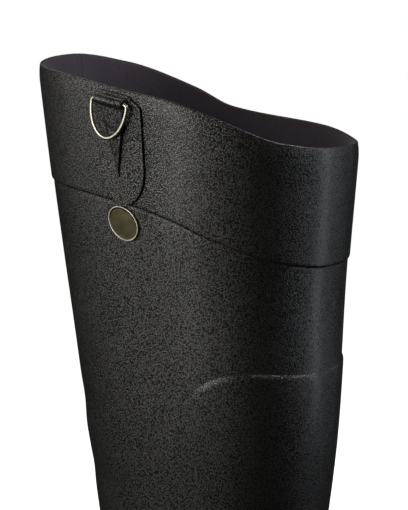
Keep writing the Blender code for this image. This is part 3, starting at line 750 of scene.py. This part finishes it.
def outsole(finish):
    flange = FOXING_GAP + FOXING_THICKNESS
    side = [
        # share of the way down, outward
        (0.000, flange - SOLE_TOP_EDGE),
        (0.015, flange - 0.2 * SOLE_TOP_EDGE),
        (0.040, flange),
        (0.290, flange),
        (0.315, flange - 0.3 * SIDE_GROOVE),
        (0.340, flange - SIDE_GROOVE),
        (0.370, flange - SIDE_GROOVE),
        (0.395, flange - 0.3 * SIDE_GROOVE),
        (0.420, flange),
        (0.550, flange),
        (0.800, flange - 0.5 * SIDE_TAPER),
        (0.970, flange - 0.95 * SIDE_TAPER),
        (1.000, flange - SIDE_TAPER - SOLE_LOW_EDGE),
    ]
    rings = []
    for share, out in side:
        edge = foot_edge(out)
        top, tread = seat_height(edge[:, 0]) - 0.3 * GAP, tread_height(edge[:, 0])
        rings.append(np.column_stack([edge, top + share * (tread - top)]))
    points, faces = capped_rings(np.array(rings))
    item = piece_from("sole", points, faces, [finish])
    cutters = tread_cutters()
    cut = item.modifiers.new("tread", "BOOLEAN")
    cut.operation = "DIFFERENCE"
    cut.solver = "EXACT"
    cut.object = cutters
    apply_modifiers(item)
    bpy.data.objects.remove(cutters)
    item.data.set_sharp_from_angle(angle=SOLE_SHARP_ANGLE)
    return item


def apply_modifiers(item):
    """Keeps the shape that an object's modifiers give, and drops the modifiers."""
    graph = bpy.context.evaluated_depsgraph_get()
    shaped = bpy.data.meshes.new_from_object(item.evaluated_get(graph))
    item.modifiers.clear()
    item.data = shaped


def foxing(finish):
    """The band round the foot above the sole, taller at the toe."""
    guard = FOXING_HEIGHT + TOE_GUARD_RISE * ease(TOE_GUARD_START, TOE_GUARD_FULL, np.cos(SOLE_ANGLES))
    profile = [(share, 1.0) for share in np.linspace(0, 0.80, 14)]
    profile += [(0.84, 0.97), (0.88, 0.90), (0.92, 0.80), (0.95, 0.68), (0.975, 0.52), (0.99, 0.34)]
    profile += [(1.0, 0.05), (0.9, -0.2), (0.45, -0.2), (0.0, -0.2)]
    rows = [(HEEL_SEAT + GAP + share * guard, lift * FOXING_THICKNESS) for share, lift in profile]
    grid = np.array([raised(SOLE_ANGLES, heights, out) for heights, out in rows])
    for row in (grid[0], grid[-1]):
        row[:, 2] = seat_height(row[:, 0]) + 0.2 * GAP
    return closed_tube("sole_band", grid, [finish])


# The belt fastening

def on_collar(toward_front, drop, out, start=TAB_ANGLE):
    """A point by its way towards the front, drop below the collar's edge and height over the skin."""
    angle = angle_towards_front(start, toward_front, LEG_HEIGHT - COLLAR_RISE)
    return raised(angle, collar_height(angle) - drop, out)


PATCH_LOW = COLLAR_BAND_THICKNESS
PATCH_HIGH = PATCH_LOW + GAP + TAB_THICKNESS
LOOP_LOW = PATCH_HIGH + GAP
BORE_RADIUS = RING_WIRE / 2 + BORE_CLEARANCE
ROLL_RADIUS = BORE_RADIUS + ROLL_WALL


def tangents(loop):
    """Directions along a closed loop of points."""
    ahead = unit(np.roll(loop, -1, axis=0) - loop)
    return unit(ahead + np.roll(ahead, 1, axis=0))


def inset(outline, distance):
    """A closed outline in its own plane, moved in by a distance."""
    following = np.roll(outline, -1, axis=0)
    both = tangents(outline)
    inward = np.stack([-both[:, 1], both[:, 0]], -1)
    area = np.sum(outline[:, 0] * following[:, 1] - following[:, 0] * outline[:, 1])
    return outline + math.copysign(distance, area) * inward


def sheet_on_collar(drops, halves, low, high, rounding, columns):
    """Points and faces of a sheet laid on the collar, with rounded edges.

    Its outline is given by half widths at drops, and high gives its face's level from a place on it.
    """
    rows = len(drops)
    across = np.linspace(-1, 1, columns)
    plan = np.stack([halves[:, None] * across, drops[:, None] + 0 * across], -1)
    loop = border(rows, columns)
    outline = np.array([plan[i, j] for i, j in loop])
    top = plan.copy()
    for (i, j), place in zip(loop, inset(outline, rounding)):
        top[i, j] = place
    rings = []
    for turn in np.radians((90, 65, 40, 18, 0)):
        ring = inset(outline, rounding * (1 - math.cos(turn)))
        level = high(ring[:, 0], ring[:, 1]) - rounding * (1 - math.sin(turn))
        rings.append(on_collar(ring[:, 0], ring[:, 1], level))
    rings.append(on_collar(outline[:, 0], outline[:, 1], low))
    face = on_collar(top[..., 0], top[..., 1], high(top[..., 0], top[..., 1]))
    under = on_collar(plan[..., 0], plan[..., 1], low)
    count = rows * columns
    around_it = len(loop)
    points = np.concatenate([face.reshape(-1, 3), np.concatenate(rings[1:-1]), under.reshape(-1, 3)])
    faces = grid_faces(rows, columns)
    last = count + 4 * around_it
    faces += [tuple(last + i for i in reversed(face)) for face in faces]
    face_loop = [i * columns + j for i, j in loop]
    stacks = [face_loop] + [[count + r * around_it + k for k in range(around_it)] for r in range(4)]
    stacks.append([last + k for k in face_loop])
    for upper, lower in zip(stacks, stacks[1:]):
        for k in range(around_it):
            n = (k + 1) % around_it
            faces.append((upper[k], lower[k], lower[n], upper[n]))
    return points, faces


def tab_half_width(drops):
    """Half width of the bottle-shaped sheet: neck, shoulders, straight sides and a rounded end."""
    neck, full = ROLL_LENGTH / 2, TAB_WIDTH / 2
    shoulder = neck + (full - neck) * ease(TAB_TOP, TAB_SHOULDER, drops) ** 0.8
    into = np.clip((drops - TAB_ROUND_START) / (TAB_BOTTOM - TAB_ROUND_START), 0, 1)
    return np.where(drops < TAB_SHOULDER, shoulder, full * np.sqrt(1 - into**2))


def tab_patch(finish):
    straight = np.linspace(TAB_TOP, TAB_ROUND_START, 34)
    turns = np.radians(np.linspace(0, 88, 26))[1:]
    drops = np.concatenate([straight, TAB_ROUND_START + (TAB_BOTTOM - TAB_ROUND_START) * np.sin(turns)])

    def level(across, drop):
        return PATCH_HIGH + 0 * across

    points, faces = sheet_on_collar(drops, tab_half_width(drops), PATCH_LOW, level, TAB_EDGE, 27)
    return piece_from("belt_patch", points, faces, [finish])


def ring_frame():
    """Middle of the ring's bar, its direction towards the front, and the way the ring hangs from it."""
    step = 0.001
    angles = angle_towards_front(TAB_ANGLE, np.array([-step, 0.0, step]), LEG_HEIGHT - COLLAR_RISE)
    heights = collar_height(angles) - ROLL_DROP
    behind, middle, ahead = skin(angles, heights) + outward(angles, heights) * (LOOP_LOW + ROLL_RADIUS)
    along = unit(ahead - behind)
    plumb = np.array((0.0, 0.0, -1.0))
    return middle, along, unit(plumb - plumb.dot(along) * along)


def tongue_level(across, drop):
    """Level of the strip's face: crowned at the roll, thin at its tip, creased across and along its back."""
    share = np.clip((drop - ROLL_DROP) / (TONGUE_END - ROLL_DROP), 0, 1)
    thick = TONGUE_ROOT_THICKNESS + share * (TONGUE_TIP_THICKNESS - TONGUE_ROOT_THICKNESS)
    half = np.maximum(TONGUE_WIDTH / 2 * (1 - share), TONGUE_TIP_WIDTH / 2)
    to_edge = np.clip(across / half, -1, 1)
    crown = TONGUE_CROWN * (1 - share) * (1 - to_edge**2)
    stand = TONGUE_STAND * np.clip(to_edge, 0, 1) * (1 - share) ** TONGUE_STAND_POWER
    from_crease = (drop - ROLL_DROP - CREASE_DROP - CREASE_SLANT * across) / CREASE_WIDTH
    from_line = (across + BACK_LINE_PLACE * half) / BACK_LINE_WIDTH
    sunk = CREASE_DEPTH * np.exp(-(from_crease**2)) + BACK_LINE_DEPTH * np.exp(-(from_line**2))
    return LOOP_LOW + thick + crown + stand - sunk


def roll_form(middle, along):
    """Points and faces of the strip where it is folded round the ring's bar."""
    across = unit(np.cross(along, (0, 0, 1)))
    other = np.cross(along, across)
    half = ROLL_LENGTH / 2
    corner = [(half - ROLL_EDGE, ROLL_RADIUS)]
    corner.append((half - 0.3 * ROLL_EDGE, ROLL_RADIUS - 0.3 * ROLL_EDGE))
    corner.append((half, ROLL_RADIUS - ROLL_EDGE))
    profile = [(-x, radius) for x, radius in corner[::-1]]
    profile += [(x, ROLL_RADIUS) for x in np.linspace(-half, half, 14)[1:-1]]
    profile += corner + [(half, BORE_RADIUS), (0.0, BORE_RADIUS), (-half, BORE_RADIUS)]
    turns = around(48)
    spokes = np.outer(np.cos(turns), across) + np.outer(np.sin(turns), other)
    grid = np.array([middle + x * along + radius * spokes for x, radius in profile])
    rows, columns = grid.shape[:2]
    return grid.reshape(-1, 3), grid_faces(rows, columns, wrap_rows=True, wrap_columns=True)


def belt_loop(finish):
    """The strip folded round the ring's bar, its front end running down to a point."""
    middle, along, _ = ring_frame()
    start = ROLL_DROP - 0.3 * ROLL_RADIUS
    drops = np.linspace(start, TONGUE_END, 70)
    halves = TONGUE_WIDTH / 2 * (1 - (drops - start) / (TONGUE_END - start))
    halves = np.maximum(halves, TONGUE_TIP_WIDTH / 2)
    points, faces = sheet_on_collar(drops, halves, LOOP_LOW - 0.5 * GAP, tongue_level, TONGUE_EDGE, 21)
    roll_points, roll_faces = roll_form(middle, along)
    faces += [tuple(len(points) + i for i in face) for face in roll_faces]
    item = piece_from("belt_loop", np.concatenate([points, roll_points]), faces, [finish])
    remesh = item.modifiers.new("one skin", "REMESH")
    remesh.mode = "VOXEL"
    remesh.voxel_size = STRIP_VOXEL
    remesh.use_smooth_shade = True
    soften = item.modifiers.new("soften", "SMOOTH")
    soften.factor = 0.5
    soften.iterations = 5
    apply_modifiers(item)
    return item


def ring_path():
    """The ring's centre line in its own plane: along the bar, away from the bar."""
    half = ROLL_LENGTH / 2 + RING_SIDE_PLAY + RING_WIRE / 2
    corner = []
    for turn in np.radians(range(10, 90, 10)):
        corner.append((half - RING_CORNER * (1 - math.sin(turn)), RING_CORNER * (1 - math.cos(turn))))
    bow = RING_DEPTH - RING_WIRE - RING_CORNER
    points = [(x, 0.0) for x in np.linspace(-half + RING_CORNER, half - RING_CORNER, 24)] + corner
    for turn in np.linspace(0, math.pi, 91):
        points.append((half * math.cos(turn), RING_CORNER + bow * math.sin(turn)))
    return np.array(points + [(-x, away) for x, away in corner[::-1]])


def belt_ring(finish):
    middle, along, hang = ring_frame()
    face = np.cross(along, hang)
    path = ring_path()
    centre = middle + np.outer(path[:, 0], along) + np.outer(path[:, 1], hang)
    inward = np.cross(tangents(centre), face)
    turns = around(20)
    wire = np.cos(turns)[:, None] * inward[:, None] + np.sin(turns)[:, None] * face
    return closed_tube("belt_ring", centre[:, None] + RING_WIRE / 2 * wire, [finish])


# The badge

def badge(field, rim):
    """A plain oval plate with a raised bright rim."""
    turns = around(96)
    centre_drop = COLLAR_BAND_WIDTH + GAP + BADGE_HEIGHT / 2
    face_level = GAP + BADGE_THICKNESS
    width = BADGE_RIM_WIDTH
    rings = [(width, GAP / 2), (0.0, 0.3 * BADGE_THICKNESS), (0.0, face_level - 0.0001)]
    for turn in np.radians((20, 45, 70, 90, 110, 135, 160)):
        rings.append((width / 2 * (1 - math.cos(turn)), face_level + BADGE_RIM_RISE * math.sin(turn)))
    rim_rings = len(rings)
    inner = BADGE_WIDTH / 2 - width
    for share in np.linspace(0, 0.94, 12):
        rings.append((width + share * inner, face_level + BADGE_DOME * (1 - (1 - share) ** 2)))
    points = []
    for cut, level in rings:
        across = (BADGE_WIDTH / 2 - cut) * np.cos(turns)
        down = max(BADGE_HEIGHT / 2 - cut, 0.0004)
        drop = centre_drop - down * np.sin(turns)
        points.append(on_collar(across, drop, level, BADGE_ANGLE))
    points, faces = capped_rings(np.array(points))
    item = piece_from("plate", points, faces, [field, rim])
    for index in range(rim_rings * len(turns)):
        item.data.polygons[index].material_index = 1
    return item


# Materials

class Finish:
    """A Principled material whose nodes are added one by one."""

    def __init__(self, name, constants):
        self.material = bpy.data.materials.new(name)
        self.material.use_nodes = True
        self.tree = self.material.node_tree
        self.shader = self.tree.nodes["Principled BSDF"]
        for socket, value in constants.items():
            self.shader.inputs[socket].default_value = value
        self.place = self.tree.nodes.new("ShaderNodeTexCoord").outputs["Object"]

    def node(self, kind, **settings):
        made = self.tree.nodes.new(kind)
        for setting, value in settings.items():
            setattr(made, setting, value)
        return made

    def link(self, source, target):
        self.tree.links.new(source, target)

    def stretched(self, x, y, z):
        """The place with each direction's pattern drawn out by a factor."""
        made = self.node("ShaderNodeMapping")
        made.inputs["Scale"].default_value = (1 / x, 1 / y, 1 / z)
        self.link(self.place, made.inputs["Vector"])
        return made.outputs["Vector"]

    def noise(self, size, detail, rough, place=None):
        """Soft noise whose lumps are about this large, in metres."""
        made = self.node("ShaderNodeTexNoise")
        made.inputs["Scale"].default_value = 1 / size
        made.inputs["Detail"].default_value = detail
        made.inputs["Roughness"].default_value = rough
        self.link(place or self.place, made.inputs["Vector"])
        return made.outputs["Fac"]

    def cells(self, size):
        """Cells of about this size, in metres, by the distance from their middles."""
        made = self.node("ShaderNodeTexVoronoi")
        made.inputs["Scale"].default_value = 1 / size
        self.link(self.place, made.inputs["Vector"])
        return made.outputs["Distance"]

    def spread(self, source, low, high, start=0.0, end=1.0):
        """A value run from one range into another."""
        made = self.node("ShaderNodeMapRange")
        for socket, value in zip(("From Min", "From Max", "To Min", "To Max"), (start, end, low, high)):
            made.inputs[socket].default_value = value
        self.link(source, made.inputs["Value"])
        return made.outputs["Result"]

    def sum(self, first, second, share):
        """The first value plus a share of the second."""
        made = self.node("ShaderNodeMath", operation="MULTIPLY_ADD")
        made.inputs[1].default_value = share
        self.link(second, made.inputs[0])
        self.link(first, made.inputs[2])
        return made.outputs["Value"]

    def colours(self, source, *stops):
        """A value turned into colours: places with their linear colour."""
        made = self.node("ShaderNodeValToRGB")
        ramp = made.color_ramp
        while len(ramp.elements) < len(stops):
            ramp.elements.new(0.5)
        for element, (place, colour) in zip(ramp.elements, stops):
            element.position = place
            element.color = (*colour, 1)
        self.link(source, made.inputs["Fac"])
        return made.outputs["Color"]

    def bump(self, height, distance, strength, over=None):
        made = self.node("ShaderNodeBump")
        made.inputs["Distance"].default_value = distance
        made.inputs["Strength"].default_value = strength
        self.link(height, made.inputs["Height"])
        if over:
            self.link(over, made.inputs["Normal"])
        return made.outputs["Normal"]

    def use(self, colour, roughness, normal):
        for socket, source in (("Base Color", colour), ("Roughness", roughness), ("Normal", normal)):
            self.link(source, self.shader.inputs[socket])
        return self.material


def grained_rubber(name, tones, depth):
    """Black rubber with a fine leather-like grain, a little dusty in places, with painted shade in the
    grain's pits.
    """
    made = Finish(name, {"Coat Weight": 0.25, "Coat Roughness": 0.30})
    pebbles = made.spread(made.cells(GRAIN_SIZE), 1.0, 0.0, 0.10, 0.80)
    fine = made.noise(GRAIN_SIZE * 0.6, 2.0, 0.6)
    height = made.sum(pebbles, fine, 0.9)
    broad = made.noise(0.045, 4.0, 0.55)
    mixed = made.sum(made.spread(broad, 0.0, 0.5), height, 0.4)
    colour = made.colours(mixed, (0.25, tones[0]), (0.8, tones[1]))
    sheen = made.spread(made.sum(broad, fine, 0.5), *RUBBER_ROUGHNESS, 0.4, 1.1)
    # Painted shade: the grain's pits reflect less, standing in for the shade that falls in them
    made.link(made.spread(height, 0.02, 1.0, 0.75, 1.15), made.shader.inputs["Specular IOR Level"])
    lumps = made.bump(broad, 0.0008, 0.35)
    return made.use(colour, sheen, made.bump(height, depth, 1.0, lumps))


def moulded_rubber(name):
    """Matt sole rubber with a fine moulded texture and scuffed dust."""
    made = Finish(name, {"Coat Weight": 0.05, "Coat Roughness": 0.5})
    pits = made.noise(0.0009, 3.0, 0.6)
    broad = made.noise(0.03, 4.0, 0.6)
    colour = made.colours(made.sum(broad, pits, 0.3), (0.45, SOLE_TONES[0]), (0.95, SOLE_TONES[1]))
    return made.use(colour, made.spread(broad, 0.50, 0.72, 0.3, 0.7), made.bump(pits, 0.00018, 0.7))


def knit_lining(name):
    """Dark purple-grey knit with a short nap."""
    made = Finish(name, {"Sheen Weight": 0.35, "Sheen Roughness": 0.5, "Specular IOR Level": 0.2})
    ribs = made.noise(0.0011, 2.0, 0.5, made.stretched(1, 1, 2.6))
    nap = made.noise(0.0005, 3.0, 0.7)
    broad = made.noise(0.05, 3.0, 0.5)
    mixed = made.sum(made.spread(broad, 0.0, 0.7), ribs, 0.45)
    colour = made.colours(mixed, (0.3, (0.030, 0.024, 0.031)), (0.85, (0.062, 0.052, 0.066)))
    rough = made.spread(nap, 0.85, 1.0)
    return made.use(colour, rough, made.bump(made.sum(ribs, nap, 0.6), 0.0003, 0.8))


def speckled(name, constants, noise, stops, roughness, relief):
    """A finish whose colour, roughness and relief all follow one noise."""
    made = Finish(name, constants)
    spots = made.noise(*noise)
    return made.use(made.colours(spots, *stops), made.spread(spots, *roughness), made.bump(spots, *relief))


def cut_textile(name):
    """The lining's cut edge, where lighter threads show."""
    stops = (0.35, (0.035, 0.024, 0.018)), (0.7, (0.13, 0.085, 0.055))
    return speckled(name, {"Specular IOR Level": 0.2}, (0.0008, 2.0, 0.6), stops, (0.8, 0.95), (0.0002, 0.6))


def plated_steel(name):
    """Nickel plate with fine wear."""
    stops = (0.35, (0.46, 0.43, 0.36)), (0.65, (0.60, 0.57, 0.49))
    worn = (0.30, 0.40, 0.35, 0.65)
    return speckled(name, {"Metallic": 1.0}, (0.0016, 4.0, 0.6), stops, worn, (0.00001, 0.2))


def felt(name):
    """Grey felt over the insole board."""
    stops = (0.3, (0.05, 0.045, 0.055)), (0.75, (0.12, 0.11, 0.13))
    constants = {"Sheen Weight": 0.3, "Specular IOR Level": 0.2}
    return speckled(name, constants, (0.0008, 4.0, 0.7), stops, (0.85, 1.0), (0.0004, 0.8))


def bronze_field(name):
    """Dull olive bronze with a fine stipple."""
    made = Finish(name, {"Metallic": 0.85})
    stipple = made.cells(0.0007)
    tarnish = made.noise(0.006, 4.0, 0.6)
    colour = made.colours(tarnish, (0.35, (0.040, 0.035, 0.017)), (0.7, (0.085, 0.074, 0.038)))
    return made.use(colour, made.spread(tarnish, 0.38, 0.55, 0.35, 0.65), made.bump(stipple, 0.0001, 0.6))


# The stage

def floor():
    """A wide pale floor whose far parts glow to plain white."""
    points = [(x, y, 0.0) for x, y in ((-40, -40), (40, -40), (40, 40), (-40, 40))]
    item = piece_from("floor", points, [(0, 1, 2, 3)], [])
    made = Finish("pale floor", {"Roughness": 0.9, "Specular IOR Level": 0.0})
    made.shader.inputs["Base Color"].default_value = (0.86, 0.86, 0.86, 1)
    away = made.node("ShaderNodeVectorMath", operation="LENGTH")
    made.link(made.place, away.inputs[0])
    glow = made.spread(away.outputs["Value"], 0.30, 1.0, 0.5, 1.3)
    made.shader.inputs["Emission Color"].default_value = (1, 1, 1, 1)
    made.link(glow, made.shader.inputs["Emission Strength"])
    item.data.materials.append(made.material)
    item.visible_diffuse = False
    item.visible_glossy = False


def looking(item, target, azimuth, elevation, distance):
    """Stands an object away from a target, facing it. Azimuth 0 looks along +Y."""
    flat = math.cos(elevation)
    back = Vector((math.sin(azimuth) * flat, -math.cos(azimuth) * flat, math.sin(elevation)))
    item.location = target + distance * back
    item.rotation_mode = "QUATERNION"
    item.rotation_quaternion = (-back).to_track_quat("-Z", "Y")


def softbox(name, turn, lift, distance, size, power, colour, height):
    """A rectangular light that looks at a point over the origin."""
    data = bpy.data.lights.new(name, "AREA")
    data.shape = "RECTANGLE"
    data.size, data.size_y = size
    data.energy = power
    data.color = colour
    item = placed(name, data)
    looking(item, Vector((0, 0, height)), VIEW_AZIMUTH + math.radians(turn), math.radians(lift), distance)
    item.visible_camera = False


def world(fill, seen):
    """A dim even fill, seen by the camera as white."""
    made = bpy.data.worlds.new("studio")
    made.use_nodes = True
    tree = made.node_tree
    tree.nodes.clear()
    out = tree.nodes.new("ShaderNodeOutputWorld")
    mix = tree.nodes.new("ShaderNodeMixShader")
    path = tree.nodes.new("ShaderNodeLightPath")
    tree.links.new(path.outputs["Is Camera Ray"], mix.inputs["Fac"])
    for socket, level in ((1, fill), (2, seen)):
        background = tree.nodes.new("ShaderNodeBackground")
        background.inputs["Color"].default_value = (level, level, level, 1)
        tree.links.new(background.outputs["Background"], mix.inputs[socket])
    tree.links.new(mix.outputs["Shader"], out.inputs["Surface"])
    bpy.context.scene.world = made


def camera():
    data = bpy.data.cameras.new("camera")
    data.lens = VIEW_LENS
    data.sensor_width = 36
    data.clip_end = 200
    item = placed("camera", data)
    looking(item, VIEW_TARGET, VIEW_AZIMUTH, VIEW_ELEVATION, VIEW_DISTANCE)
    bpy.context.scene.camera = item


def stage():
    camera()
    floor()
    world(FILL_LEVEL, SEEN_LEVEL)
    for light in LIGHTS:
        softbox(*light)
    bpy.context.scene.view_settings.view_transform = "Standard"


def boot(frame):
    rubber = grained_rubber("grained rubber", RUBBER_TONES, GRAIN_DEPTH)
    smooth = grained_rubber("strap rubber", STRAP_TONES, STRAP_GRAIN_DEPTH)
    sole_finish = moulded_rubber("sole rubber")
    knit = knit_lining("knit lining")
    edge = cut_textile("cut textile")
    steel = plated_steel("nickelled steel")
    bronze = bronze_field("bronze field")
    bright = plated_steel("bright rim")
    pieces = (
        # piece, body, slot, replaced node
        (rubber_wall(rubber), "boot", "upper_rubber", "upper"),
        (knee_patch(rubber), "boot", "upper_rubber", None),
        (lining(knit, edge), "boot", "lining_textile", None),
        (outsole(sole_finish), "boot", "sole_rubber", "outsole"),
        (foxing(sole_finish), "boot", "sole_rubber", "foxing"),
        (tab_patch(rubber), "boot", "upper_rubber", "tab_patch"),
        (belt_loop(smooth), "boot", "upper_rubber", "tab_loop"),
        (belt_ring(steel), "ring", "ring_steel", "d_ring"),
        (badge(bronze, bright), "boot", "badge_metal", "badge"),
    )
    for piece, body, slot, node in pieces:
        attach(piece, body)
        if node:
            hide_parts(node)
    insole = frame["nodes"]["insole"].data
    insole.materials.clear()
    insole.materials.append(felt("insole felt"))


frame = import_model()
boot(frame)
stage()
